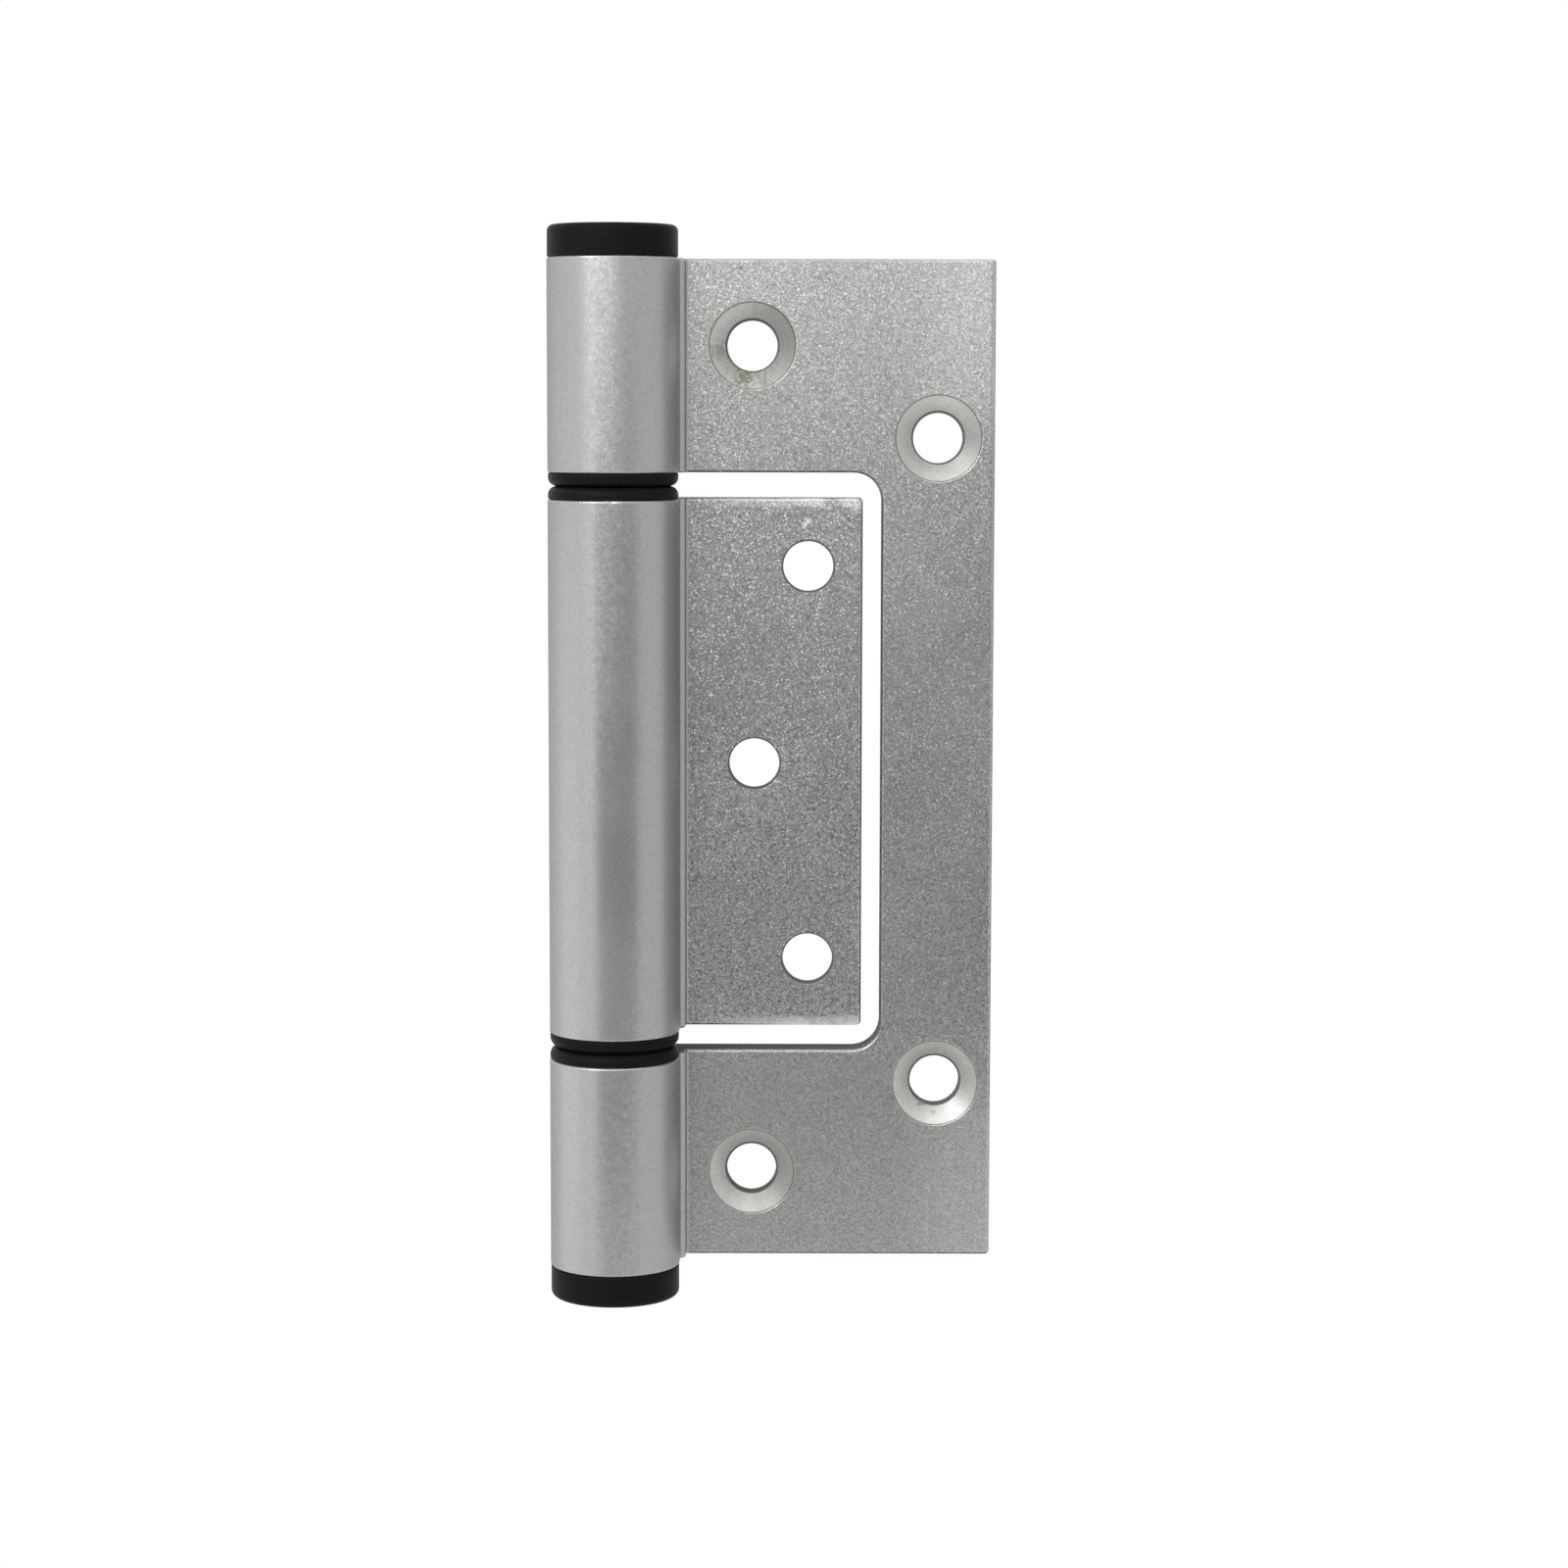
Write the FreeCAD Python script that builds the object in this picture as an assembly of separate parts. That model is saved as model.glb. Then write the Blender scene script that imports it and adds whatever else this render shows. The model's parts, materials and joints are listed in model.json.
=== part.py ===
import math
import os

import FreeCAD, Part

# Flush hinge, closed. Two leaves of extruded aluminium fold into one thickness: the sash leaf, with one
# long knuckle, lies in the window of the frame leaf, which has a knuckle at each end. Flanged plastic
# bushes line the knuckles, a steel pin runs through them and plug caps keep it in.
#
# Frame: millimetres, +Z up along the pin, +X from the pin to the leaves' far edges, and -Y is the side
# that the barrel stands out on. The origin is on the frame leaf's back, midway between the two screw
# holes nearest the barrel.

# Sizes along the pin
end_knuckle_length = 21.0
centre_knuckle_length = 53.0
flange_thickness = 1.2
flange_play = 0.1
cap_head_height = 3.1

# Barrel and pin
barrel_diameter = 12.9
knuckle_bore = 8.0
pin_diameter = 6.0
pin_end_chamfer = 0.5

# Section of both leaves: reaches are counted from the pin's axis, depths from the pin's axis backwards
sash_leaf_reach = 24.6
leaf_thickness = 3.5
leaf_setback = 4.2
leaf_edge_radius = 0.5
shoulder_depth = 2.0
shoulder_width = 0.55
shoulder_drop = 0.3
shoulder_radius = 0.25
neck_root_radius = 0.3
heel_reach = 1.0
heel_radius = 2.0

# Window of the frame leaf, the stile beyond it, and corners of the sash leaf
window_side_gap = 1.9
frame_stile_width = 11.2
window_corner_radius = 2.85
sash_corner_radius = 0.45
frame_corner_radius = 0.3

# Countersunk screw holes: their centres lie from the leaf's sawn ends and its far edge, or from the pin
screw_hole_diameter = 5.0
countersink_diameter = 8.7
countersink_angle = 90.0
hole_exit_bevel = 0.15
frame_near_reach = 13.6
frame_near_from_end = 8.5
frame_far_from_edge = 5.6
frame_far_from_end = 17.6
sash_pair_from_edge = 5.4
sash_pair_from_end = 6.8
sash_middle_reach = 13.85

# Bushes and end caps: flanges and cap heads stop short of the barrel's surface by the head inset
bush_length = 12.0
head_inset = 0.05
flange_bevel_width = 0.8
flange_bevel_height = 0.7
cap_edge_bevel = 0.5
cap_spigot_length = 6.0
cap_spigot_lead_in = 0.5
pin_socket_depth = 4.5

# Fits, on the radius unless they are gaps along the pin, and the broken edges of sawn ends
push_fit = 0.02
running_fit = 0.04
pin_end_gap = 0.3
broken_edge = 0.2

# Worked out from the sizes above
barrel_radius = barrel_diameter / 2
pin_x = -frame_near_reach
pin_y = -(leaf_thickness + leaf_setback)
centre_knuckle_top = centre_knuckle_length / 2
knuckle_gap = 2 * flange_thickness + flange_play
window_top = centre_knuckle_top + knuckle_gap
hinge_top = window_top + end_knuckle_length
window_reach = sash_leaf_reach + window_side_gap
frame_leaf_reach = window_reach + frame_stile_width
pin_half_length = hinge_top - cap_spigot_length + pin_socket_depth - pin_end_gap
front_face_y = -leaf_thickness
head_radius = barrel_radius - head_inset
past = 5.0


def at(reach, depth, height=0.0):
    """A point given by its reach and depth from the pin's axis and its height."""
    return FreeCAD.Vector(pin_x + reach, pin_y + depth, height)


def rounded_path(corners):
    """Edges through (reach, depth, radius) corners, with each inner corner rounded to its radius."""
    points = [at(reach, depth) for reach, depth, radius in corners]
    edges = []
    start = points[0]
    for before, corner, after, (_, _, radius) in zip(points, points[1:], points[2:], corners[1:]):
        arriving = (corner - before).normalize()
        leaving = (after - corner).normalize()
        turn = arriving.getAngle(leaving)
        setback = radius * math.tan(turn / 2)
        arc_start = corner - arriving * setback
        arc_end = corner + leaving * setback
        inward = (leaving - arriving).normalize()
        arc_middle = corner + inward * (radius / math.cos(turn / 2) - radius)
        edges.append(Part.LineSegment(start, arc_start).toShape())
        edges.append(Part.Arc(arc_start, arc_middle, arc_end).toShape())
        start = arc_end
    edges.append(Part.LineSegment(start, points[-1]).toShape())
    return edges


def leaf_section(reach):
    """The extrusion's section: barrel, neck with its shoulder, and flat leaf, without the pin bore."""
    neck_reach = barrel_radius + shoulder_width
    leaf_back = leaf_setback + leaf_thickness
    heel_angle = math.atan2(leaf_back, heel_reach)
    tangent_angle = heel_angle + math.acos(barrel_radius / math.hypot(heel_reach, leaf_back))
    tangent_reach = barrel_radius * math.cos(tangent_angle)
    tangent_depth = barrel_radius * math.sin(tangent_angle)
    front_angle = (tangent_angle + 2 * math.pi) / 2
    edges = rounded_path([
        (barrel_radius, 0.0, 0.0),
        (barrel_radius, shoulder_depth, shoulder_radius),
        (neck_reach, shoulder_depth + shoulder_drop, shoulder_radius),
        (neck_reach, leaf_setback, neck_root_radius),
        (reach, leaf_setback, leaf_edge_radius),
        (reach, leaf_back, leaf_edge_radius),
        (heel_reach, leaf_back, heel_radius),
        (tangent_reach, tangent_depth, 0.0),
    ])
    barrel_front = at(barrel_radius * math.cos(front_angle), barrel_radius * math.sin(front_angle))
    barrel_arc = Part.Arc(at(tangent_reach, tangent_depth), barrel_front, at(barrel_radius, 0.0))
    return Part.Face(Part.Wire(edges + [barrel_arc.toShape()]))


def extruded_leaf(reach, half_height):
    """A length of the section with the pin bore through its barrel."""
    section = leaf_section(reach)
    section.translate(FreeCAD.Vector(0, 0, -half_height))
    leaf = section.extrude(FreeCAD.Vector(0, 0, 2 * half_height))
    bore_start = at(0, 0, -half_height - past)
    bore = Part.makeCylinder(knuckle_bore / 2, 2 * (half_height + past), bore_start)
    return leaf.cut(bore)


def window_cutter():
    """What is sawn and milled out of the frame leaf, from the barrel to the window's far side."""
    left = -barrel_radius - past
    height = 2 * window_top
    depth = pin_y - barrel_radius - past
    corner = FreeCAD.Vector(pin_x + left, depth, -window_top)
    cutter = Part.makeBox(window_reach - left, past - depth, height, corner)
    far_x = pin_x + window_reach
    far_edges = [edge for edge in cutter.Edges if is_along_y(edge) and edge.Vertexes[0].X > far_x - 0.01]
    return cutter.makeFillet(window_corner_radius, far_edges)


def is_along_y(edge):
    first, last = edge.Vertexes[0].Point, edge.Vertexes[-1].Point
    return abs(first.x - last.x) < 0.01 and abs(first.z - last.z) < 0.01


def round_far_corners(leaf, reach, half_height, radius):
    """Rounds the two corners of a leaf's outline at its far edge."""
    left = -barrel_radius - past
    depth = pin_y - barrel_radius - past
    corner = FreeCAD.Vector(pin_x + left, depth, -half_height)
    outline = Part.makeBox(reach - left, past - depth, 2 * half_height, corner)
    far_edges = [edge for edge in outline.Edges if is_along_y(edge) and edge.Vertexes[0].X > pin_x]
    return leaf.common(outline.makeFillet(radius, far_edges))


def screw_hole(reach, height, opens_to_front):
    """A through hole with its countersink in the front or the back face of a leaf and a bevelled exit."""
    hole_radius = screw_hole_diameter / 2
    sink_radius = countersink_diameter / 2
    sink_depth = (sink_radius - hole_radius) / math.tan(math.radians(countersink_angle / 2))
    x = pin_x + reach
    front = FreeCAD.Vector(x, front_face_y, height)
    back = FreeCAD.Vector(x, 0.0, height)
    mouth, exit_mouth = (front, back) if opens_to_front else (back, front)
    inward = (exit_mouth - mouth).normalize()
    sink = Part.makeCone(sink_radius, hole_radius, sink_depth, mouth, inward)
    hole = Part.makeCylinder(hole_radius, leaf_thickness + 2 * past, mouth - inward * past, inward)
    exit_radius = hole_radius + hole_exit_bevel
    exit_bevel = Part.makeCone(exit_radius, hole_radius, hole_exit_bevel, exit_mouth, -inward)
    return sink.fuse([hole, exit_bevel])


def break_sawn_edges(leaf, heights):
    """Breaks the sharp edges of the outline where the leaf was sawn, at the given heights."""
    sawn = []
    for edge in leaf.Edges:
        box = edge.BoundBox
        for height in heights:
            if abs(box.ZMin - height) < 0.01 and abs(box.ZMax - height) < 0.01:
                sawn.append(edge)
    return leaf.makeChamfer(broken_edge, sawn)


def frame_leaf():
    leaf = extruded_leaf(frame_leaf_reach, hinge_top).cut(window_cutter())
    leaf = break_sawn_edges(leaf, (-hinge_top, -window_top, window_top, hinge_top))
    leaf = round_far_corners(leaf, frame_leaf_reach, hinge_top, frame_corner_radius)
    near_height = hinge_top - frame_near_from_end
    far_height = hinge_top - frame_far_from_end
    for side in (-1, 1):
        leaf = leaf.cut(screw_hole(frame_near_reach, side * near_height, True))
        leaf = leaf.cut(screw_hole(frame_leaf_reach - frame_far_from_edge, side * far_height, True))
    return leaf


def sash_leaf():
    leaf = extruded_leaf(sash_leaf_reach, centre_knuckle_top)
    leaf = break_sawn_edges(leaf, (-centre_knuckle_top, centre_knuckle_top))
    leaf = round_far_corners(leaf, sash_leaf_reach, centre_knuckle_top, sash_corner_radius)
    pair_height = centre_knuckle_top - sash_pair_from_end
    for side in (-1, 1):
        leaf = leaf.cut(screw_hole(sash_leaf_reach - sash_pair_from_edge, side * pair_height, False))
    return leaf.cut(screw_hole(sash_middle_reach, 0.0, False))


def turned(corners):
    """A solid of revolution about the pin's axis, from the (radius, height) corners of half its section."""
    points = [FreeCAD.Vector(radius, 0, height) for radius, height in corners]
    section = Part.Face(Part.makePolygon(points + points[:1]))
    solid = section.revolve(FreeCAD.Vector(0, 0, 0), FreeCAD.Vector(0, 0, 1), 360)
    solid.translate(at(0, 0))
    return solid


def flanged_bush():
    """A bush that stands with its flange on top of a knuckle's end at height 0."""
    inner = pin_diameter / 2 + running_fit
    tube = knuckle_bore / 2 - push_fit
    return turned([
        (inner, flange_thickness),
        (inner, -bush_length),
        (tube, -bush_length),
        (tube, 0.0),
        (head_radius, 0.0),
        (head_radius, flange_thickness - flange_bevel_height),
        (head_radius - flange_bevel_width, flange_thickness),
    ])


def end_cap():
    """A plug cap whose head stands on a knuckle's end at height 0, with a blind socket for the pin."""
    spigot = knuckle_bore / 2 - push_fit
    socket = pin_diameter / 2 + push_fit
    socket_end = pin_socket_depth - cap_spigot_length
    return turned([
        (0.0, cap_head_height),
        (0.0, socket_end),
        (socket, socket_end),
        (socket, -cap_spigot_length),
        (spigot - cap_spigot_lead_in, -cap_spigot_length),
        (spigot, -cap_spigot_length + cap_spigot_lead_in),
        (spigot, 0.0),
        (head_radius, 0.0),
        (head_radius, cap_head_height - cap_edge_bevel),
        (head_radius - cap_edge_bevel, cap_head_height),
    ])


def hinge_pin():
    pin = Part.makeCylinder(pin_diameter / 2, 2 * pin_half_length, at(0, 0, -pin_half_length))
    ends = [edge for edge in pin.Edges if edge.BoundBox.ZLength < 0.01]
    return pin.makeChamfer(pin_end_chamfer, ends)


def seated(turned_part, height, upwards):
    """Moves a turned part to a knuckle's end at this height, facing up or down."""
    part = turned_part.copy()
    if not upwards:
        part.rotate(at(0, 0), FreeCAD.Vector(1, 0, 0), 180)
    part.translate(FreeCAD.Vector(0, 0, height))
    return part


parts = {
    "frame_leaf": frame_leaf(),
    "sash_leaf": sash_leaf(),
    "hinge_pin": hinge_pin(),
    "upper_knuckle_bush": seated(flanged_bush(), window_top, False),
    "centre_upper_bush": seated(flanged_bush(), centre_knuckle_top, True),
    "centre_lower_bush": seated(flanged_bush(), -centre_knuckle_top, False),
    "lower_knuckle_bush": seated(flanged_bush(), -window_top, True),
    "top_end_cap": seated(end_cap(), hinge_top, True),
    "bottom_end_cap": seated(end_cap(), -hinge_top, False),
}

os.makedirs("parts", exist_ok=True)
for name, shape in parts.items():
    shape = shape.removeSplitter() if name.endswith("leaf") else shape
    shape.exportStep(f"parts/{name}.step")
    print(name, shape.ShapeType, len(shape.Solids), shape.isValid(), round(shape.Volume, 1))
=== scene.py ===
# %% [markdown]
# # A flush hinge, closed
# A flush hinge folds into the thickness of one leaf. The small sash leaf lies in the window of the large
# frame leaf, and both are cut from one aluminium extrusion that carries a barrel along its edge. The barrel
# holds black nylon bushes, a steel pin and two end caps.
#
# The construction comes ready made, in metres, with its pieces in place. This script dresses it: it gives
# each surface its finish, spins the nylon pieces with softer edges than the construction has, and sets up a
# plain studio. Nothing that arrives is moved.

# %% Load the construction
import json
import math

import bpy
from mathutils import Matrix, Vector


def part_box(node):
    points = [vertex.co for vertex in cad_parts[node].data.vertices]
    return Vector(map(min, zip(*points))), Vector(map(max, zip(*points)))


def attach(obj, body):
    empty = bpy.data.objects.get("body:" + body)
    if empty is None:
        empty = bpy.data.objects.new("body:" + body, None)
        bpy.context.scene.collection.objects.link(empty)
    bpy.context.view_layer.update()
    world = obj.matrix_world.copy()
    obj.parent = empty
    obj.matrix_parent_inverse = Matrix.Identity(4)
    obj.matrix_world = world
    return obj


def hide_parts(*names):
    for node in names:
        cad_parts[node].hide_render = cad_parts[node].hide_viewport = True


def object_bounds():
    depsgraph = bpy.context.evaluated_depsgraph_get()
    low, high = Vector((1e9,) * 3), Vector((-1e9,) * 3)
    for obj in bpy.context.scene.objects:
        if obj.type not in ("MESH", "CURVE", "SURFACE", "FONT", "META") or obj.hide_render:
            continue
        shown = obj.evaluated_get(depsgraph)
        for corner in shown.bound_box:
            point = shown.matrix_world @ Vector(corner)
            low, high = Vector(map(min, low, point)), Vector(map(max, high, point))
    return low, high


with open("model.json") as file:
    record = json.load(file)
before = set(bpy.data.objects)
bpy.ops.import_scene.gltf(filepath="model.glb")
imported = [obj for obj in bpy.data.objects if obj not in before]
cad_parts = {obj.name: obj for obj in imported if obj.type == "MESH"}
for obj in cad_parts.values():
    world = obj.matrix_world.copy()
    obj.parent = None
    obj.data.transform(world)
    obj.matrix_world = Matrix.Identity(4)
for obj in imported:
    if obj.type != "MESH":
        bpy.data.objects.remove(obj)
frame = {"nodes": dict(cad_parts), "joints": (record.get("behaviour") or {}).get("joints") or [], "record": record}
cad_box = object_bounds()
print("nodes:", ", ".join(sorted(frame["nodes"])))

# %% [markdown]
# ## Measure it first
# Every finish below depends on where something is: blasting on the flats, turning marks in the countersinks,
# saw marks on the ends. Those places are read from the pieces, the joint and the mounts, so a
# changed hinge keeps its finish in the right place. Lengths are metres, with MM for the small ones.

# %% Sizes read from the construction
MM = 0.001
swing = frame["joints"][0]
pin_x, pin_y = swing["pos_m"][:2]
sash_low, sash_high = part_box("sash_leaf")
frame_low, frame_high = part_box("frame_leaf")
barrel_radius = pin_x - sash_low.x
neck_x = pin_x + barrel_radius
mounts = {mount["name"]: mount for mount in frame["record"]["mounts"]}
flange_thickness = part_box("centre_upper_bush")[1].z - sash_high.z
window_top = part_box("upper_knuckle_bush")[0].z + flange_thickness
front_y = mounts["sash_leaf_front"]["pos_m"][1]
back_y = mounts["frame_leaf_back"]["pos_m"][1]
print(f"pin at x {pin_x / MM:.1f}, y {pin_y / MM:.1f} mm, barrel {2 * barrel_radius / MM:.1f} mm across")
print(f"leaf faces at y {front_y / MM:.1f} and {back_y / MM:.1f} mm, neck at x {neck_x / MM:.1f} mm")

# %% [markdown]
# The mounts give the centres and the radius of the screw holes. They say nothing of the countersinks, so the
# width of the screw heads that these take is written here.

# %% Where the screw holes are
SCREW_HEAD = 8.7 * MM


def hole_centres(*mount_names):
    """The (x, z) centres of the holes in these mounts. A pair lies above and below its mount."""
    centres = []
    for name in mount_names:
        x, _, z = mounts[name]["pos_m"]
        rise = mounts[name]["dims"].get("spacing_y_mm", 0.0) * MM / 2
        centres += [(x, z + rise), (x, z - rise)] if rise else [(x, z)]
    return centres


frame_holes = hole_centres("frame_screws_near_barrel", "frame_screws_far")
sash_holes = hole_centres("sash_screw_pair", "sash_middle_screw")
hole_radius = mounts["sash_middle_screw"]["dims"]["r_mm"] * MM
countersink_radius = SCREW_HEAD / 2
print(len(frame_holes), "holes in the frame leaf and", len(sash_holes), "in the sash leaf")

# %% [markdown]
# ## Helpers for node trees
# A finish is a small network of shader nodes. Written out, each node takes three or four lines, so a few
# helpers keep the networks readable. The first feeds a socket with a value or a link, and the second places
# a node and feeds all its inputs.

# %% Node helpers: sockets and nodes
def feed(tree, socket, value):
    """Links a socket to another node's output, or stores a plain value in it."""
    if isinstance(value, bpy.types.NodeSocket):
        tree.links.new(value, socket)
    else:
        socket.default_value = value


def place(tree, kind, inputs, **options):
    """Adds a shader node, sets its options and feeds its named inputs."""
    made = tree.nodes.new("ShaderNode" + kind)
    for option, value in options.items():
        setattr(made, option, value)
    for name, value in inputs.items():
        feed(tree, made.inputs[name], value)
    return made


print("nodes can be placed and fed")

# %% [markdown]
# Most of a network is arithmetic: sums and products of masks, lengths of vectors, and smooth steps from one
# value to another.

# %% Node helpers: arithmetic
def calc(tree, operation, *values, clamp=False):
    """One step of arithmetic."""
    made = tree.nodes.new("ShaderNodeMath")
    made.operation = operation
    made.use_clamp = clamp
    for socket, value in zip(made.inputs, values):
        feed(tree, socket, value)
    return made.outputs[0]


def vector_calc(tree, operation, *values):
    """One step of vector arithmetic. Scale and distance steps give their own kind of output."""
    made = tree.nodes.new("ShaderNodeVectorMath")
    made.operation = operation
    slots = [made.inputs[0], made.inputs["Scale"] if operation == "SCALE" else made.inputs[1]]
    for socket, value in zip(slots, values):
        feed(tree, socket, value)
    return made.outputs["Value" if operation in ("DOT_PRODUCT", "DISTANCE", "LENGTH") else "Vector"]


def ramp(tree, value, low, high, to_low=0.0, to_high=1.0):
    """A smooth step of a value, from to_low at low to to_high at high."""
    made = place(tree, "MapRange", {"Value": value, "From Min": low, "From Max": high,
                                    "To Min": to_low, "To Max": to_high}, interpolation_type="SMOOTHSTEP")
    return made.outputs["Result"]


def mix_colour(tree, share, first, second):
    """Mixes two colours. Of a Mix node's sockets, inputs 6 and 7 and output 2 are for colour."""
    made = tree.nodes.new("ShaderNodeMix")
    made.data_type = "RGBA"
    feed(tree, made.inputs["Factor"], share)
    feed(tree, made.inputs[6], first)
    feed(tree, made.inputs[7], second)
    return made.outputs[2]


print("values, vectors and colours can be worked out")

# %% [markdown]
# An effect that several finishes share goes in a node group, which is built once and then placed in each
# material like any other node.

# %% Node helpers: groups
def open_group(name, inputs, outputs):
    """A new node group with these (name, kind) sockets. Returns its tree, what comes in and what goes out."""
    tree = bpy.data.node_groups.new(name, "ShaderNodeTree")
    for socket_name, kind in inputs:
        tree.interface.new_socket(socket_name, in_out="INPUT", socket_type="NodeSocket" + kind)
    for socket_name, kind in outputs:
        tree.interface.new_socket(socket_name, in_out="OUTPUT", socket_type="NodeSocket" + kind)
    return tree, tree.nodes.new("NodeGroupInput").outputs, tree.nodes.new("NodeGroupOutput").inputs


def use_group(tree, group, inputs):
    """Places a node group and feeds its inputs."""
    made = tree.nodes.new("ShaderNodeGroup")
    made.node_tree = group
    for name, value in inputs.items():
        feed(tree, made.inputs[name], value)
    return made.outputs


print("groups can be built and placed")

# %% [markdown]
# ## Blasted grain
# Before it is anodised, the extrusion is blasted with fine beads. Under a lens that gives thousands of tiny
# dents, and each one tilts the light its own way, so the flats glitter in grains about an eighth of a
# millimetre wide. A bump from smooth noise would look like orange peel. Voronoi cells do better: every cell
# has one random colour, and that colour, taken as a direction, tilts the whole cell like a facet. A wider
# noise adds a faint swell, which frays the edge of the highlight on the barrel. The cell's colour also gives
# each grain its tone, a broader noise gathers the grains into faint clouds, and the few cells with the
# highest numbers become glints.

# %% Node group: blasted grain
MIDDLE_GREY = (0.5, 0.5, 0.5)
GLINT_FROM = 0.945


def make_blasted_grain():
    tree, given, wanted = open_group(
        "blasted grain",
        [("Position", "Vector"), ("Normal", "Vector"), ("Grain Size", "Float"), ("Tilt", "Float"),
         ("Swell", "Float")],
        [("Normal", "Vector"), ("Tone", "Float"), ("Glint", "Float")])
    cells = place(tree, "TexVoronoi", {
        "Vector": given["Position"],
        "Scale": calc(tree, "DIVIDE", 1.0, given["Grain Size"])})
    facet = vector_calc(tree, "SUBTRACT", cells.outputs["Color"], MIDDLE_GREY)
    lean = vector_calc(tree, "SCALE", facet, given["Tilt"])
    ripple = place(tree, "TexNoise", {
        "Vector": given["Position"],
        "Scale": calc(tree, "DIVIDE", 0.22, given["Grain Size"]),
        "Detail": 1.0})
    wave = vector_calc(tree, "SUBTRACT", ripple.outputs["Color"], MIDDLE_GREY)
    swell = vector_calc(tree, "SCALE", wave, given["Swell"])
    leaning = vector_calc(tree, "ADD", given["Normal"], vector_calc(tree, "ADD", lean, swell))
    feed(tree, wanted["Normal"], vector_calc(tree, "NORMALIZE", leaning))

    numbers = place(tree, "SeparateColor", {"Color": cells.outputs["Color"]}).outputs
    clouds = place(tree, "TexNoise", {
        "Vector": given["Position"],
        "Scale": calc(tree, "DIVIDE", 0.35, given["Grain Size"]),
        "Detail": 2.0})
    own_tone = calc(tree, "MULTIPLY", calc(tree, "SUBTRACT", numbers["Green"], 0.5), 0.7)
    cloud_tone = calc(tree, "SUBTRACT", clouds.outputs["Fac"], 0.5)
    feed(tree, wanted["Tone"], calc(tree, "ADD", own_tone, cloud_tone))
    # The glints are painted highlights: the leaf's colour lights these cells up.
    feed(tree, wanted["Glint"], calc(tree, "GREATER_THAN", numbers["Blue"], GLINT_FROM))
    return tree


blasted_grain = make_blasted_grain()
print("group:", blasted_grain.name)

# %% [markdown]
# ## Worn edges
# Handling polishes a part where it is touched first, along its edges. The Bevel node gives the normal that
# a slightly rounded edge would have. Where it parts from the face's own normal there is an edge, and
# the amount they differ is the mask. Noise breaks the mask up, because wear is never an even line.

# %% Node group: worn edges
EDGE_AGREEMENT = (0.999, 0.93)


def make_worn_edges():
    tree, given, wanted = open_group(
        "worn edges",
        [("Position", "Vector"), ("Radius", "Float"), ("Patch Size", "Float")],
        [("Mask", "Float"), ("Normal", "Vector")])
    rounded = place(tree, "Bevel", {"Radius": given["Radius"]}, samples=6)
    own = tree.nodes.new("ShaderNodeNewGeometry").outputs["Normal"]
    agreement = vector_calc(tree, "DOT_PRODUCT", rounded.outputs["Normal"], own)
    edge = ramp(tree, agreement, *EDGE_AGREEMENT)
    patches = place(tree, "TexNoise", {
        "Vector": given["Position"],
        "Scale": calc(tree, "DIVIDE", 1.0, given["Patch Size"]),
        "Detail": 3.0})
    broken = ramp(tree, patches.outputs["Fac"], 0.32, 0.62, 0.25, 1.0)
    feed(tree, wanted["Mask"], calc(tree, "MULTIPLY", edge, broken))
    feed(tree, wanted["Normal"], rounded.outputs["Normal"])
    return tree


worn_edges = make_worn_edges()
print("group:", worn_edges.name)

# %% [markdown]
# ## Handling marks
# A hinge that has been through a box of others carries hairline scratches. One scratch field is a noise
# that is stretched some fifty times along one direction and cut off so that only its highest crests stay.
# Two fields at different angles, each thinned out by a patchy mask, look like chance and not like brushing.

# %% Node group: handling marks
CRESTS = (0.71, 0.76)
SCRATCHED_PATCHES = (0.45, 0.65)


def make_handling_marks():
    tree, given, wanted = open_group(
        "handling marks",
        [("Position", "Vector"), ("Scratch Length", "Float"), ("Amount", "Float")],
        [("Scratches", "Float"), ("Smudges", "Float")])
    per_length = calc(tree, "DIVIDE", 1.0, given["Scratch Length"])
    crests = []
    for turn, thinness, seed in ((0.6, 60.0, 0.0), (-1.1, 45.0, 7.0)):
        turned = place(tree, "Mapping", {
            "Vector": given["Position"], "Rotation": (0.0, turn, 0.0), "Scale": (thinness, 1.0, 1.0)})
        shifted = vector_calc(tree, "ADD", vector_calc(tree, "SCALE", turned.outputs["Vector"], per_length),
                              (seed, seed, seed))
        lines = place(tree, "TexNoise", {"Vector": shifted, "Scale": 1.0, "Detail": 1.0, "Roughness": 0.4})
        crests.append(ramp(tree, lines.outputs["Fac"], *CRESTS))
    patches = place(tree, "TexNoise", {
        "Vector": given["Position"], "Scale": calc(tree, "MULTIPLY", per_length, 0.9), "Detail": 2.0})
    where = ramp(tree, patches.outputs["Fac"], *SCRATCHED_PATCHES)
    scratches = calc(tree, "MULTIPLY", calc(tree, "MAXIMUM", *crests), where)
    feed(tree, wanted["Scratches"], calc(tree, "MULTIPLY", scratches, given["Amount"], clamp=True))
    feed(tree, wanted["Smudges"], ramp(tree, patches.outputs["Fac"], 0.35, 0.75))
    return tree


handling_marks = make_handling_marks()
print("group:", handling_marks.name)

# %% [markdown]
# ## Tool marks
# A saw leaves straight lines on the ends of the extrusion and across the window, and a countersink leaves
# rings in its cone. Both are the same thing, a wave along a distance: for the saw it is the distance along
# the cut, for the countersink the distance from the hole's axis. A little noise on the distance and on the
# height keeps the lines from looking printed.

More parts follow.
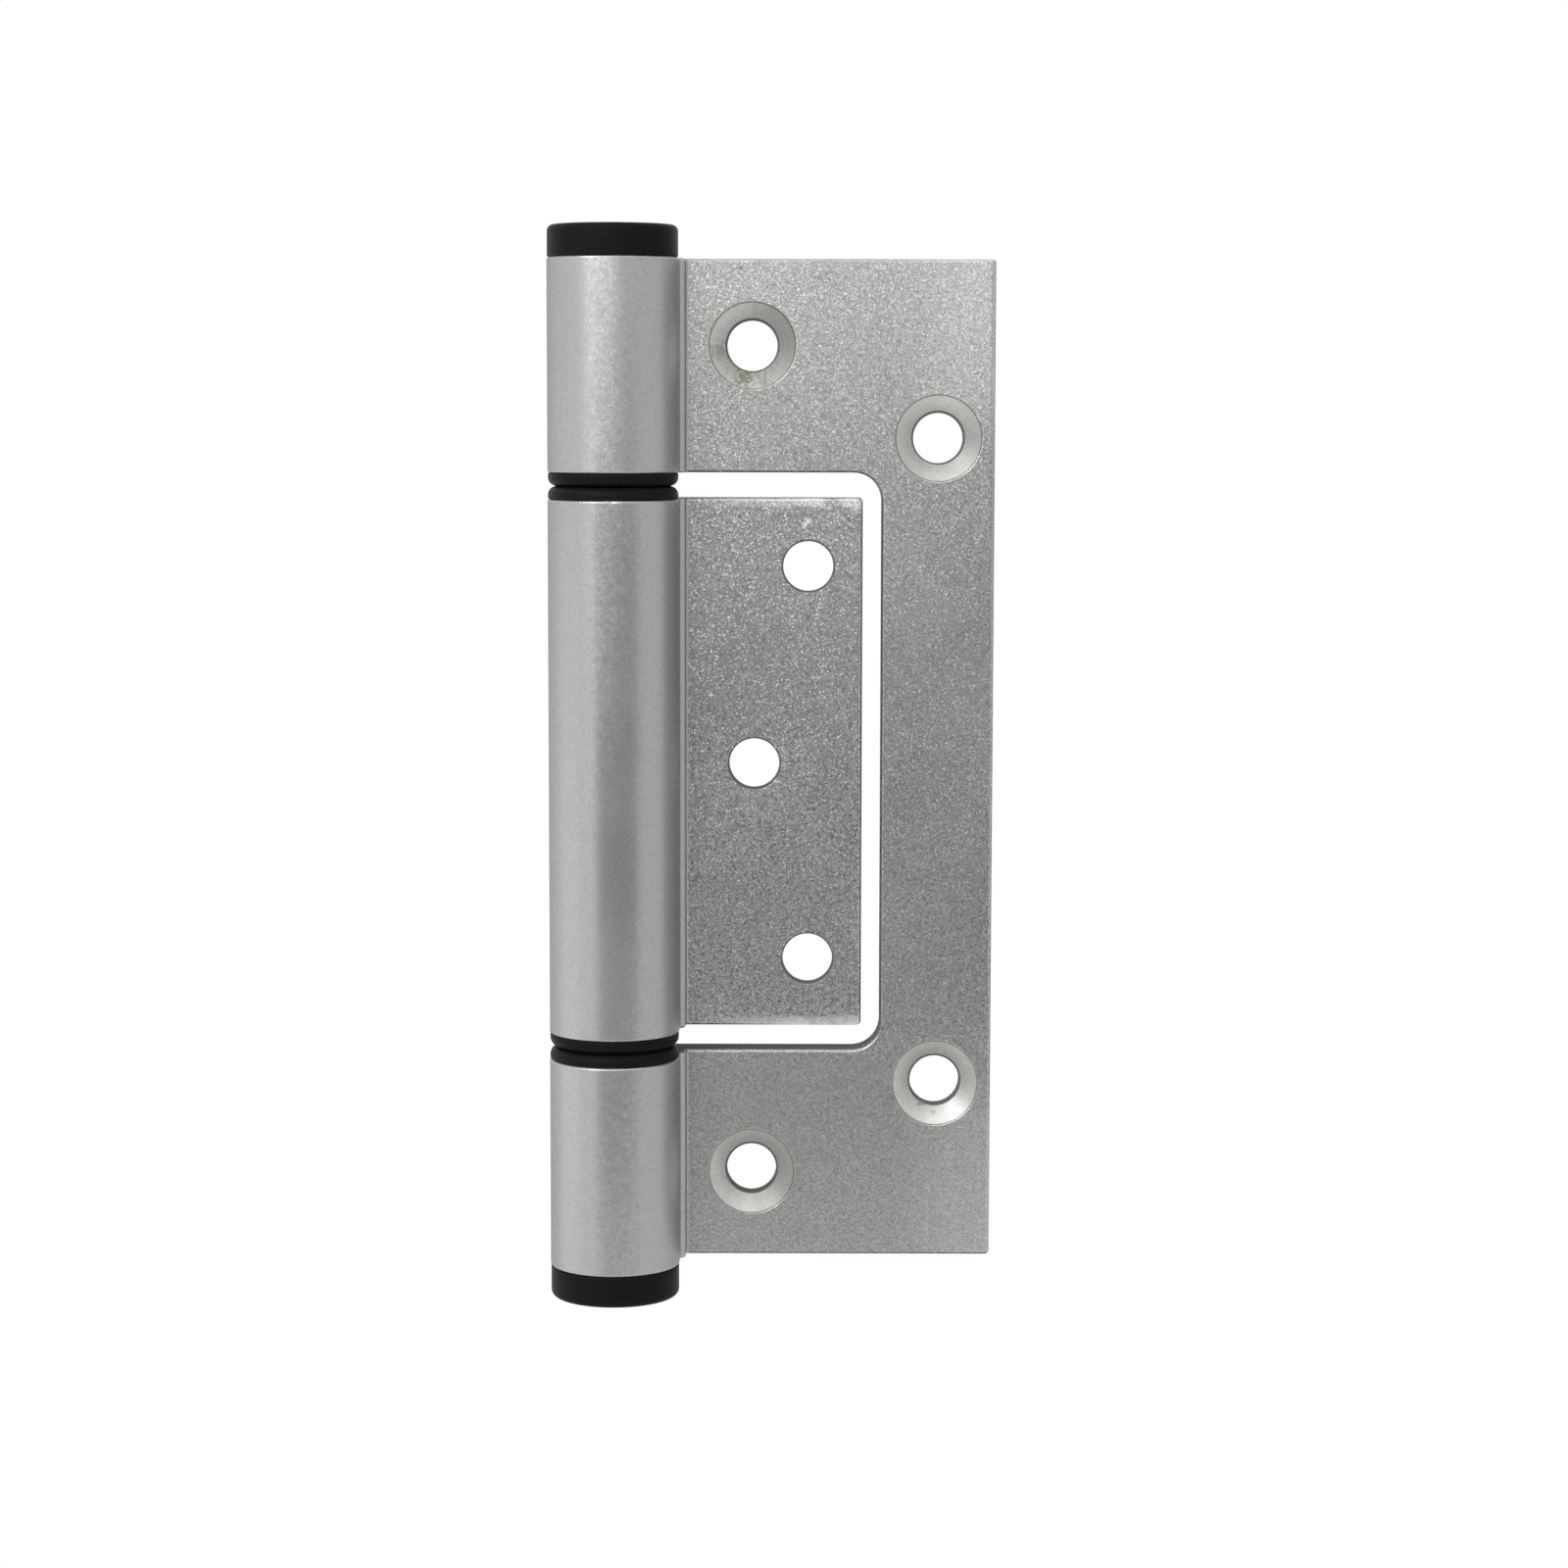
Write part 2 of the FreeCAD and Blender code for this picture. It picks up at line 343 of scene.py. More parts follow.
# %% Node group: tool marks
def make_tool_marks():
    tree, given, wanted = open_group(
        "tool marks",
        [("Position", "Vector"), ("Distance", "Float"), ("Pitch", "Float")],
        [("Height", "Float")])
    waver = place(tree, "TexNoise", {"Vector": given["Position"], "Scale": 900.0, "Detail": 2.0})
    steps = calc(tree, "DIVIDE", given["Distance"], given["Pitch"])
    wandering = calc(tree, "ADD", steps, waver.outputs["Fac"])
    wave = calc(tree, "SINE", calc(tree, "MULTIPLY", wandering, 2 * math.pi))
    feed(tree, wanted["Height"], calc(tree, "MULTIPLY", wave, waver.outputs["Fac"]))
    return tree


tool_marks = make_tool_marks()
print("group:", tool_marks.name)

# %% [markdown]
# ## Anodised aluminium
# One extrusion has four finishes. The flats are blasted and glitter. The barrel has the same blasting, but
# its surface is finer and shines like satin. Countersinks are cut after blasting, so their cones are smooth
# with faint rings, and a dark line of painted shade marks where the sharp rim starts. Sawn ends have straight
# marks.
#
# All four go in one material, because on the real piece they are one metal under one clear oxide. Masks
# choose between them by place: how far a point is from a hole's axis, how deep it lies in the leaf, and
# which way its face points. Positions are the object's own, so the finish stays on the leaf as it swings.

# %% Colours of the aluminium
ALUMINIUM_SATIN = (0.430, 0.444, 0.431, 1.0)
ALUMINIUM_BLASTED = (0.392, 0.402, 0.388, 1.0)
ALUMINIUM_CUT = (0.640, 0.655, 0.630, 1.0)
ALUMINIUM_WEAR_AND_HIGHLIGHT = (0.80, 0.81, 0.81, 1.0)
SHADED_WALL = (0.105, 0.108, 0.104, 1.0)
PAINTED_RIM_SHADE = (0.13, 0.13, 0.12, 1.0)
print("six tones of one metal")

# %% [markdown]
# ### Words for masks
# A mask is a value from 0 to 1 that says how much of something a point has. The product of masks is what
# lies in all of them, the largest is what lies in any of them, and a mask can slide another value from one
# setting to a second one. With a word for each, the networks below can be read aloud.

# %% Mask helpers
def all_of(tree, *masks):
    """How far a point lies in all of these masks."""
    share = masks[0]
    for mask in masks[1:]:
        share = calc(tree, "MULTIPLY", share, mask)
    return share


def any_of(tree, *masks):
    """How far a point lies in any of these masks."""
    share = masks[0]
    for mask in masks[1:]:
        share = calc(tree, "MAXIMUM", share, mask)
    return share


def outside(tree, mask):
    """How far a point lies outside a mask."""
    return calc(tree, "SUBTRACT", 1.0, mask)


def slide(tree, mask, off, on):
    """A value that is off where the mask is 0 and on where it is 1."""
    return calc(tree, "MULTIPLY_ADD", mask, on - off, off)


def between(tree, value, low, high):
    """1 where a value lies between two limits, otherwise 0."""
    return all_of(tree, calc(tree, "GREATER_THAN", value, low), calc(tree, "LESS_THAN", value, high))


print("masks can be joined")

# %% [markdown]
# ### Where a point lies
# Each mask asks the same things of a point: its place, the way its face points, and its distance from the
# nearest screw hole. The face's direction comes from the world, so it is turned into the leaf's own frame.

# %% Places, directions and distances
def whereabouts(tree, position):
    """The x, y and z of a point, and of the direction its face points in, in the leaf's own frame."""
    geometry = tree.nodes.new("ShaderNodeNewGeometry")
    facing = place(tree, "VectorTransform", {"Vector": geometry.outputs["True Normal"]},
                   vector_type="NORMAL", convert_from="WORLD", convert_to="OBJECT")
    places = place(tree, "SeparateXYZ", {"Vector": position}).outputs
    facings = place(tree, "SeparateXYZ", {"Vector": facing.outputs["Vector"]}).outputs
    return places, facings


def distance_to_nearest(tree, places, centres):
    """How far a point is from the nearest of some axes that run through the leaf, at these (x, z) centres."""
    nearest = None
    for centre_x, centre_z in centres:
        across = calc(tree, "SUBTRACT", places["X"], centre_x)
        up = calc(tree, "SUBTRACT", places["Z"], centre_z)
        squares = calc(tree, "ADD", calc(tree, "MULTIPLY", across, across), calc(tree, "MULTIPLY", up, up))
        distance = calc(tree, "SQRT", squares)
        nearest = distance if nearest is None else calc(tree, "MINIMUM", nearest, distance)
    return nearest


def on_front(tree, places):
    """1 on the front of a leaf, where the marks and rubbed places are, and 0 on its back."""
    return calc(tree, "LESS_THAN", places["Y"], back_y - 0.5 * MM)


print("a point can be placed")

# %% [markdown]
# ### Flats, cones and sawn ends
# The blasted flats begin just past the neck, where the leaf leaves the barrel, and take in the whole back. A
# cone is what lies between the leaf's two faces and within reach of a hole's axis. A sawn end points up or
# down the extrusion.

# %% Masks: flats, cones and sawn ends
SKIN = 0.01 * MM
FLATS_BEGIN = (neck_x + 0.6 * MM, neck_x + 0.9 * MM)


def past_neck(tree, places):
    return ramp(tree, places["X"], *FLATS_BEGIN)


def flats(tree, places):
    on_back = ramp(tree, places["Y"], back_y - 0.15 * MM, back_y - SKIN)
    return any_of(tree, past_neck(tree, places), on_back)


def cones(tree, places, from_hole):
    inside_leaf = between(tree, places["Y"], front_y + SKIN, back_y - SKIN)
    return all_of(tree, inside_leaf, calc(tree, "LESS_THAN", from_hole, countersink_radius + SKIN))


def sawn_ends(tree, facings):
    return calc(tree, "GREATER_THAN", calc(tree, "ABSOLUTE", facings["Z"]), 0.9)


print("masks: flats, cones, sawn ends")

# %% [markdown]
# ### Shade
# The window is cut square through the leaf, and so are the holes below their cones. Such a wall of bright
# metal would mirror the white room, so it is given painted shade instead: a dark tone that is hardly
# metallic, which reads as a dark line. Faces past the neck that face down get the same painted shade, and so
# does a line round each hole. The line round a hole is widest at its top, where the wall faces down.

# %% Masks: walls and mouths of holes
MOUTH_SHADE = 0.24 * MM
window_side = sash_high.x + 2.5 * MM


def hole_mouths(tree, facings, from_hole):
    width = slide(tree, facings["Z"], MOUTH_SHADE, 0.6 * MOUTH_SHADE)
    widths_away = calc(tree, "DIVIDE", calc(tree, "SUBTRACT", from_hole, hole_radius), width)
    return ramp(tree, widths_away, 1.0, 0.6)


def shaded_walls(tree, places, facings, cone, has_window):
    # Painted shade: faces past the neck that face down are darkened as if in shadow.
    faces_down = calc(tree, "LESS_THAN", facings["Z"], -0.4)
    walls = all_of(tree, faces_down, past_neck(tree, places), outside(tree, cone))
    if has_window:
        square = calc(tree, "LESS_THAN", calc(tree, "ABSOLUTE", facings["Y"]), 0.2)
        level = calc(tree, "LESS_THAN", calc(tree, "ABSOLUTE", places["Z"]), window_top + SKIN)
        near = calc(tree, "LESS_THAN", places["X"], window_side)
        walls = any_of(tree, walls, all_of(tree, square, level, near))
    return walls


print("masks: hole mouths, shaded walls")

# %% [markdown]
# ### Uneven tone
# The frame leaf is a little lighter towards its far corners. In the lower half of the window's height its
# grain has more contrast and its glints are brighter, which is painted sparkle. The sash leaf is painted
# lighter along its ends, most of all at its far corners, partly as rubbed wear and partly as painted highlight.
# Each is a smooth step along an axis, and noise breaks up the rubbed places.

# %% Masks: lighter far corners, painted sparkle band, rubbed and lit ends
FAR_CORNER_ALONG_X = (frame_high.x - 11 * MM, frame_high.x - 2 * MM)
FAR_CORNER_ALONG_Z = (window_top + 2 * MM, window_top + 8 * MM)
SPARKLE_BAND_TOP = (14 * MM, -4 * MM)
SPARKLE_BAND_FOOT = (-window_top - 2 * MM, -window_top)
RUBBED_ALONG_X = (neck_x, sash_high.x - 4 * MM)
RUBBED_ALONG_Z = (sash_high.z - 1.1 * MM, sash_high.z - 0.55 * MM)


# A mask that grows towards the frame leaf's far corners, where the tone is lifted.
def haze(tree, places):
    from_middle = calc(tree, "ABSOLUTE", places["Z"])
    return all_of(tree, ramp(tree, places["X"], *FAR_CORNER_ALONG_X), ramp(tree, from_middle, *FAR_CORNER_ALONG_Z))


# Painted sparkle: where grain contrast and glints are raised, in the lower half of the window's height.
def grit(tree, places):
    return all_of(tree, ramp(tree, places["Z"], *SPARKLE_BAND_TOP), ramp(tree, places["Z"], *SPARKLE_BAND_FOOT))


# Rubbed wear and painted highlight along the sash leaf's ends, most at its far corners.
def rubbed_and_lit_ends(tree, position, places):
    ends = ramp(tree, calc(tree, "ABSOLUTE", places["Z"]), *RUBBED_ALONG_Z)
    towards_corner = ramp(tree, places["X"], *RUBBED_ALONG_X)
    patches = place(tree, "TexNoise", {"Vector": position, "Scale": 350.0, "Detail": 3.0}).outputs["Fac"]
    return all_of(tree, ends, towards_corner, on_front(tree, places), ramp(tree, patches, 0.30, 0.60))


print("masks: haze, grit, rubbed ends")

# %% [markdown]
# ### All masks of a leaf
# The rim is a line of painted shade round a cone. The flank is the right side of the barrel, which the die left
# a little rougher, and the neck root is the inner corner beside it, where edges get no polish and no painted
# highlight.

# %% Every mask by name
RIM_WIDTH = 0.13 * MM
NECK_ROOT = (neck_x + 0.4 * MM, neck_x + 1.4 * MM)
FLANK_ALONG_X = (pin_x + 0.65 * barrel_radius, pin_x + 0.95 * barrel_radius)


def leaf_masks(tree, position, leaf):
    places, facings = whereabouts(tree, position)
    from_hole = distance_to_nearest(tree, places, leaf["holes"])
    flat = flats(tree, places)
    cone = cones(tree, places, from_hole)
    sawn = sawn_ends(tree, facings)
    cut = any_of(tree, cone, sawn)
    from_rim = calc(tree, "SUBTRACT", from_hole, countersink_radius - RIM_WIDTH / 2)
    on_rim = ramp(tree, calc(tree, "ABSOLUTE", from_rim), 0.7 * RIM_WIDTH, 0.3 * RIM_WIDTH)
    walls = shaded_walls(tree, places, facings, cone, leaf["has window"])
    return {
        "from hole": from_hole,
        "along": places["X"],
        "cone": cone,
        "sawn": sawn,
        "cut": cut,
        "blasted": all_of(tree, flat, outside(tree, cut)),
        "rim": all_of(tree, cone, on_rim),
        "shade": any_of(tree, hole_mouths(tree, facings, from_hole), walls),
        "neck root": between(tree, places["X"], *NECK_ROOT),
        "flank": all_of(tree, outside(tree, flat), ramp(tree, places["X"], *FLANK_ALONG_X)),
        "haze": haze(tree, places),
        "grit": grit(tree, places),
        "rubbed": rubbed_and_lit_ends(tree, position, places),
    }


print("all masks have names")

# %% [markdown]
# ### Marks of use and painted light
# The piece has been handled: the far corners of its sash leaf are rubbed, there is a nick above the top hole,
# and cutting oil has dried in yellowish flecks in and beside the countersinks. Painted highlights brighten the
# sash leaf's far corners, three painted glints sit on the top edge of its knuckle, and a wide spot of painted
# shade darkens the lower part of the upper countersink beside the barrel. Each mark is a place (x, z) and a
# size in millimetres, a strength and a colour, and one function turns it into a spot with a frayed edge.

# %% Flecks, nicks, painted glints and painted shade
OIL_AND_SHADE = (0.25, 0.235, 0.15, 1.0)
INK = (0.22, 0.24, 0.32, 1.0)
NICK_AND_HIGHLIGHT = (0.92, 0.92, 0.92, 1.0)
PIT = (0.10, 0.10, 0.10, 1.0)
FRAME_MARKS = [
    ((-4.8, 43.6), 1.1, 0.30, OIL_AND_SHADE),
    ((-3.4, 41.0), 1.3, 0.50, OIL_AND_SHADE),
    ((-0.9, 38.3), 1.3, 0.70, OIL_AND_SHADE),
    ((1.2, 37.9), 0.9, 0.50, OIL_AND_SHADE),
    # Painted shade: a wide spot darkens the lower part of this countersink.
    ((-0.3, 40.2), 3.3, 0.40, OIL_AND_SHADE),
    ((17.2, -34.7), 0.7, 0.60, OIL_AND_SHADE),
    ((18.3, -35.6), 0.4, 0.50, OIL_AND_SHADE),
    ((-2.3, -42.5), 0.8, 0.40, OIL_AND_SHADE),
    ((-1.1, 49.1), 0.35, 0.70, PIT),
    ((20.4, 45.2), 0.2, 0.60, PIT),
]
SASH_MARKS = [
    ((5.5, 24.1), 0.50, 1.00, NICK_AND_HIGHLIGHT),
    ((5.2, 23.8), 0.45, 1.00, NICK_AND_HIGHLIGHT),
    # Painted highlights on the sash leaf's rubbed far corners.
    ((10.4, 26.0), 1.4, 0.70, NICK_AND_HIGHLIGHT),
    ((10.3, -26.1), 1.2, 0.60, NICK_AND_HIGHLIGHT),
    # Three painted glints on the top edge of the centre knuckle.
    ((-14.0, 26.4), 0.40, 0.80, NICK_AND_HIGHLIGHT),
    ((-13.3, 26.4), 0.45, 0.90, NICK_AND_HIGHLIGHT),
    ((-12.7, 26.4), 0.30, 0.70, NICK_AND_HIGHLIGHT),
    ((-2.0, -12.5), 1.0, 0.35, INK),
    ((-1.5, -23.4), 0.8, 0.35, INK),
]


def add_marks(tree, position, colour, marks):
    """Lays each mark over a colour, as a spot whose edge a fine noise frays."""
    places = place(tree, "SeparateXYZ", {"Vector": position}).outputs
    noise = place(tree, "TexNoise", {"Vector": position, "Scale": 2600.0, "Detail": 3.0}).outputs["Fac"]
    fray = calc(tree, "SUBTRACT", noise, 0.5)
    front = on_front(tree, places)
    for (x, z), size, strength, tint in marks:
        reach = distance_to_nearest(tree, places, [(x * MM, z * MM)])
        frayed = calc(tree, "MULTIPLY_ADD", fray, 2.4 * size * MM, reach)
        spot = ramp(tree, frayed, 0.9 * size * MM, 0.1 * size * MM)
        colour = mix_colour(tree, all_of(tree, spot, front, strength), colour, tint)
    return colour


print(len(FRAME_MARKS) + len(SASH_MARKS), "marks")

# %% [markdown]
# ### Effects on a leaf
# The shared effects get this metal's own values here. Grains on the flats lean twice as far as on the
# barrel, which has a wider swell instead, and both are calm where a tool has cut.

# %% The shared effects, set for a leaf
def leaf_effects(tree, position, masks):
    edges = use_group(tree, worn_edges, {"Position": position, "Radius": 0.16 * MM, "Patch Size": 2.5 * MM})
    calm = slide(tree, masks["cut"], 1.0, 0.3)
    tilt = slide(tree, masks["blasted"], 0.045, 0.10)
    swell = slide(tree, masks["blasted"], 0.07, 0.01)
    grain = use_group(tree, blasted_grain, {
        "Position": position, "Normal": edges["Normal"], "Grain Size": 0.12 * MM,
        "Tilt": calc(tree, "MULTIPLY", tilt, calm), "Swell": calc(tree, "MULTIPLY", swell, calm)})
    handling = use_group(tree, handling_marks, {
        "Position": position, "Scratch Length": 16 * MM, "Amount": 0.25})
    rings = use_group(tree, tool_marks, {
        "Position": position, "Distance": masks["from hole"], "Pitch": 0.22 * MM})
    saw = use_group(tree, tool_marks, {"Position": position, "Distance": masks["along"], "Pitch": 0.35 * MM})
    return {"edges": edges, "grain": grain, "handling": handling, "rings": rings, "saw": saw}


print("five effects for a leaf")

# %% [markdown]
# ### Colour of a leaf
# The tone is built up in layers: first the metal as it was blasted or cut, then its grain and the lift towards
# the far corners, then the painted shade in its walls and corners, then the painted glints and highlights, the
# bright wear and the scratches, and last the marks. Grain contrast differs from leaf to leaf, because each was
# blasted by itself, and so does the strength of the painted glints.

# %% From metal to marks
FAR_CORNER_LIFT = 0.24
SPARKLE_BAND_LIFT = 1.9
LEAST_CONTRAST = 0.20
EDGE_LIGHT = 0.42
SCRATCH_LIGHT = 0.5
SHADE_STRENGTH = 0.92
RIM_STRENGTH = 0.8


def leaf_colour(tree, position, masks, effects, leaf):
    uncut = mix_colour(tree, masks["blasted"], ALUMINIUM_SATIN, ALUMINIUM_BLASTED)
    bare = mix_colour(tree, masks["cut"], uncut, ALUMINIUM_CUT)
    # Painted sparkle: in the lower band the grain's contrast and the glints are raised.
    sparkle_band_lift = slide(tree, masks["grit"], 1.0, SPARKLE_BAND_LIFT)
    contrast = calc(tree, "MULTIPLY_ADD", calc(tree, "MULTIPLY", masks["blasted"], sparkle_band_lift),
                    leaf["grain contrast"], LEAST_CONTRAST)
    tone = calc(tree, "MULTIPLY_ADD", effects["grain"]["Tone"], contrast, 1.0)
    # Lighter towards the frame leaf's far corners.
    corner_lifted = calc(tree, "MULTIPLY_ADD", masks["haze"], FAR_CORNER_LIFT, tone)
    grained = vector_calc(tree, "SCALE", bare, corner_lifted)
    # Painted shade on walls, hole mouths and faces that face down.
    walled = mix_colour(tree, calc(tree, "MULTIPLY", masks["shade"], SHADE_STRENGTH), grained, SHADED_WALL)
    # Painted shade: a dark line round the rim of each cone.
    rimmed = mix_colour(tree, calc(tree, "MULTIPLY", masks["rim"], RIM_STRENGTH), walled, PAINTED_RIM_SHADE)

    # Painted light: glints on a few grains and highlights along lit edges, none in hollows; the rubbed ends are
    # partly wear and partly painted highlight; the scratches are real.
    glint = calc(tree, "MULTIPLY", all_of(tree, effects["grain"]["Glint"], masks["blasted"]),
                 calc(tree, "MULTIPLY", sparkle_band_lift, leaf["sparkle"]), clamp=True)
    rubbed = all_of(tree, masks["rubbed"], masks["blasted"], leaf["rubbed"])
    hollow = any_of(tree, masks["shade"], masks["neck root"])
    lit_edge = all_of(tree, effects["edges"]["Mask"], slide(tree, hollow, EDGE_LIGHT, 0.0))
    scratched = calc(tree, "MULTIPLY", effects["handling"]["Scratches"], SCRATCH_LIGHT)
    bright = any_of(tree, glint, rubbed, lit_edge, scratched)
    return add_marks(tree, position, mix_colour(tree, bright, rimmed, ALUMINIUM_WEAR_AND_HIGHLIGHT), leaf["marks"])


print("a leaf has its colour")

# %% [markdown]
# ### Gloss and relief of a leaf
# One roughness holds for the whole leaf, and each thing that happened to the surface adds a little to it or
# takes some away. The relief is only the tool's work: rings in the cones and lines on the sawn ends.

# %% Roughness and bump
SATIN_ROUGHNESS = 0.30


def leaf_roughness(tree, masks, effects):
    roughness = SATIN_ROUGHNESS
    for mask, change in (
            (masks["blasted"], 0.01), (effects["handling"]["Smudges"], 0.04), (masks["cut"], 0.12),
            (masks["flank"], 0.14), (effects["edges"]["Mask"], -0.06)):
        roughness = calc(tree, "MULTIPLY_ADD", mask, change, roughness)
    return roughness


def leaf_relief(tree, masks, effects):
    rings = all_of(tree, effects["rings"]["Height"], masks["cone"])
    lines = all_of(tree, effects["saw"]["Height"], masks["sawn"])
    tooled = place(tree, "Bump", {
        "Height": calc(tree, "ADD", rings, lines), "Strength": 0.12, "Distance": 0.01 * MM,
        "Normal": effects["grain"]["Normal"]})
    return tooled.outputs["Normal"]


print("a leaf has its gloss and relief")

# %% [markdown]
# ### The material of a leaf
# Bare metal mirrors more and more as the eye looks along it. Oxide and grain stop that, so the Specular
# Tint, which is the metal's colour at a slant, stays grey. Where shade is painted the metal is hardly
# metallic, so those places don't mirror the white room.

# %% Material: the leaves
LEAVES = {
    "frame_leaf": {"holes": frame_holes, "has window": True, "marks": FRAME_MARKS,
                   "rubbed": 0.0, "grain contrast": 0.34, "sparkle": 0.42},
    "sash_leaf": {"holes": sash_holes, "has window": False, "marks": SASH_MARKS,
                  "rubbed": 1.0, "grain contrast": 0.52, "sparkle": 0.80},
}


def leaf_finish(name, leaf):
    material = bpy.data.materials.new(name + " aluminium")
    material.use_nodes = True
    tree = material.node_tree
    metal = tree.nodes["Principled BSDF"]
    metal.inputs["Specular IOR Level"].default_value = 0.0
    metal.inputs["Specular Tint"].default_value = (0.62, 0.63, 0.63, 1.0)
    position = tree.nodes.new("ShaderNodeTexCoord").outputs["Object"]
    masks = leaf_masks(tree, position, leaf)
    effects = leaf_effects(tree, position, masks)
    feed(tree, metal.inputs["Base Color"], leaf_colour(tree, position, masks, effects, leaf))
    # Painted shade is made hardly metallic, so it doesn't mirror the room.
    feed(tree, metal.inputs["Metallic"], slide(tree, masks["shade"], 1.0, 0.1))
    feed(tree, metal.inputs["Roughness"], leaf_roughness(tree, masks, effects))
    feed(tree, metal.inputs["Normal"], leaf_relief(tree, masks, effects))
    return material


for name, leaf in LEAVES.items():
    piece = frame["nodes"][name]
    piece.material_slots[0].material = leaf_finish(name, leaf)
    print(name, "has", piece.material_slots[0].material.name)

# %% [markdown]
# ## Moulded nylon
# The bushes and caps are injection moulded in black nylon. The mould is spark eroded, so the surface has a
# very fine, even grain that scatters light: matt on the flats and a soft sheen along rounded edges. The
# base colour is almost black, because what the eye reads as black plastic is mostly the reflection on it.

# %% Material: black nylon
NYLON_BLACK = (0.0058, 0.0062, 0.0063, 1.0)
NYLON_SCUFF_AND_SHEEN = (0.045, 0.048, 0.052, 1.0)
EDGE_SCUFF_AND_SHEEN = 0.5
SCRATCH_SCUFF = 0.15


def nylon_finish():
    material = bpy.data.materials.new("black nylon")
    material.use_nodes = True
    tree = material.node_tree
    plastic = tree.nodes["Principled BSDF"]
    plastic.inputs["IOR"].default_value = 1.53
    plastic.inputs["Specular IOR Level"].default_value = 0.07
    position = tree.nodes.new("ShaderNodeTexCoord").outputs["Object"]
    edges = use_group(tree, worn_edges, {"Position": position, "Radius": 0.15 * MM, "Patch Size": 1.5 * MM})
    marks = use_group(tree, handling_marks, {"Position": position, "Scratch Length": 9 * MM, "Amount": 0.6})
    eroded = place(tree, "TexNoise", {"Vector": position, "Scale": 7000.0, "Detail": 2.0}).outputs["Fac"]
    # The edges are painted lighter: partly scuffing, partly a painted sheen along the rims.
    worn = calc(tree, "MULTIPLY", edges["Mask"], EDGE_SCUFF_AND_SHEEN)
    scratched = calc(tree, "MULTIPLY", marks["Scratches"], SCRATCH_SCUFF)
    feed(tree, plastic.inputs["Base Color"],
         mix_colour(tree, any_of(tree, worn, scratched), NYLON_BLACK, NYLON_SCUFF_AND_SHEEN))
    dull = calc(tree, "MULTIPLY_ADD", eroded, 0.16, 0.44)
    feed(tree, plastic.inputs["Roughness"], calc(tree, "MULTIPLY_ADD", marks["Smudges"], -0.08, dull))
    grain = place(tree, "Bump", {
        "Height": eroded, "Strength": 0.35, "Distance": 0.02 * MM, "Normal": edges["Normal"]})
    feed(tree, plastic.inputs["Normal"], grain.outputs["Normal"])
    return material


black_nylon = nylon_finish()
print("material:", black_nylon.name)

# %% [markdown]
# ## Turned nylon pieces
# Bushes and caps are solids of revolution, like work on a lathe: a half section spun about the pin. The
# construction breaks their edges with flat bevels. The moulded edges are really round, and the light
# that runs along them tells the eye that they are plastic, so each piece is spun again here with arcs for
# its corners. A section is a list of corners, each with a radius, and the rounding is worked out.

# %% Half sections with round corners
ARC_STEPS = 8


def round_section(corners):
    """The points of a closed half section, from (radius, height, rounding) corners."""
    points = []
    for index, (radius, height, rounding) in enumerate(corners):
        corner = Vector((radius, height))
        if rounding == 0.0:
            points.append(corner)
            continue
        before = Vector(corners[index - 1][:2]) - corner
        after = Vector(corners[(index + 1) % len(corners)][:2]) - corner
        half_angle = before.angle(after) / 2
        inwards = (before.normalized() + after.normalized()).normalized()
        centre = corner + inwards * rounding / math.sin(half_angle)
        start = corner + before.normalized() * rounding / math.tan(half_angle) - centre
        end = corner + after.normalized() * rounding / math.tan(half_angle) - centre
        turn = start.angle_signed(end)
        for step in range(ARC_STEPS + 1):
            spoke = start.copy()
            spoke.rotate(Matrix.Rotation(-turn * step / ARC_STEPS, 2))
            points.append(centre + spoke)
    return points


print("corners are rounded in", ARC_STEPS, "steps")

# %% [markdown]
# Spinning is the lathe's own motion: the half section is copied round the pin in even steps, and each copy
# is joined to the next by a strip of faces. A Screw modifier would do the same, but a mesh written
# directly keeps exact control of where the facets lie. Smooth shading hides the steps, except at
# corners sharper than the given angle.

# %% Spin a section
TURN_STEPS = 144
SHARP_FROM = math.radians(35)


def spin(name, section, base_z, upwards):
    """Spins a closed half section about the pin, with its height 0 at base_z, facing up or down."""
    side = 1 if upwards else -1
    vertices = []
    for step in range(TURN_STEPS):
        angle = 2 * math.pi * step / TURN_STEPS
        for point in section:
            vertices.append((pin_x + point.x * math.cos(angle), pin_y + point.x * math.sin(angle),
                             base_z + side * point.y))
    count = len(section)
    faces = []
    for step in range(TURN_STEPS):
        here, there = step * count, (step + 1) % TURN_STEPS * count
        for index in range(count):
            following = (index + 1) % count
            face = (here + index, there + index, there + following, here + following)
            faces.append(face if upwards else face[::-1])
    mesh = bpy.data.meshes.new(name)
    mesh.from_pydata(vertices, [], faces)
    mesh.shade_smooth()
    mesh.set_sharp_from_angle(angle=SHARP_FROM)
    mesh.materials.append(black_nylon)
    piece = bpy.data.objects.new(name, mesh)
    bpy.context.scene.collection.objects.link(piece)
    return piece


print("sections are spun in", TURN_STEPS, "steps")

# %% [markdown]
# ### Bushes
# A bush lines the knuckle with its tube and separates two knuckles with its flange. Two flanges meet
# between every pair of knuckles, and because each is rounded towards the other, a groove runs round the
# barrel there. The construction keeps them a tenth of a millimetre apart, so that they turn freely. Real
# flanges rub on each other, and a gap that wide would let daylight through, so here each is a little
# thicker. The tube is hidden in the knuckle, but it is spun too, so that the piece is whole. The
# knuckle's bore and the two fits can't be read from outside, so they are written here.

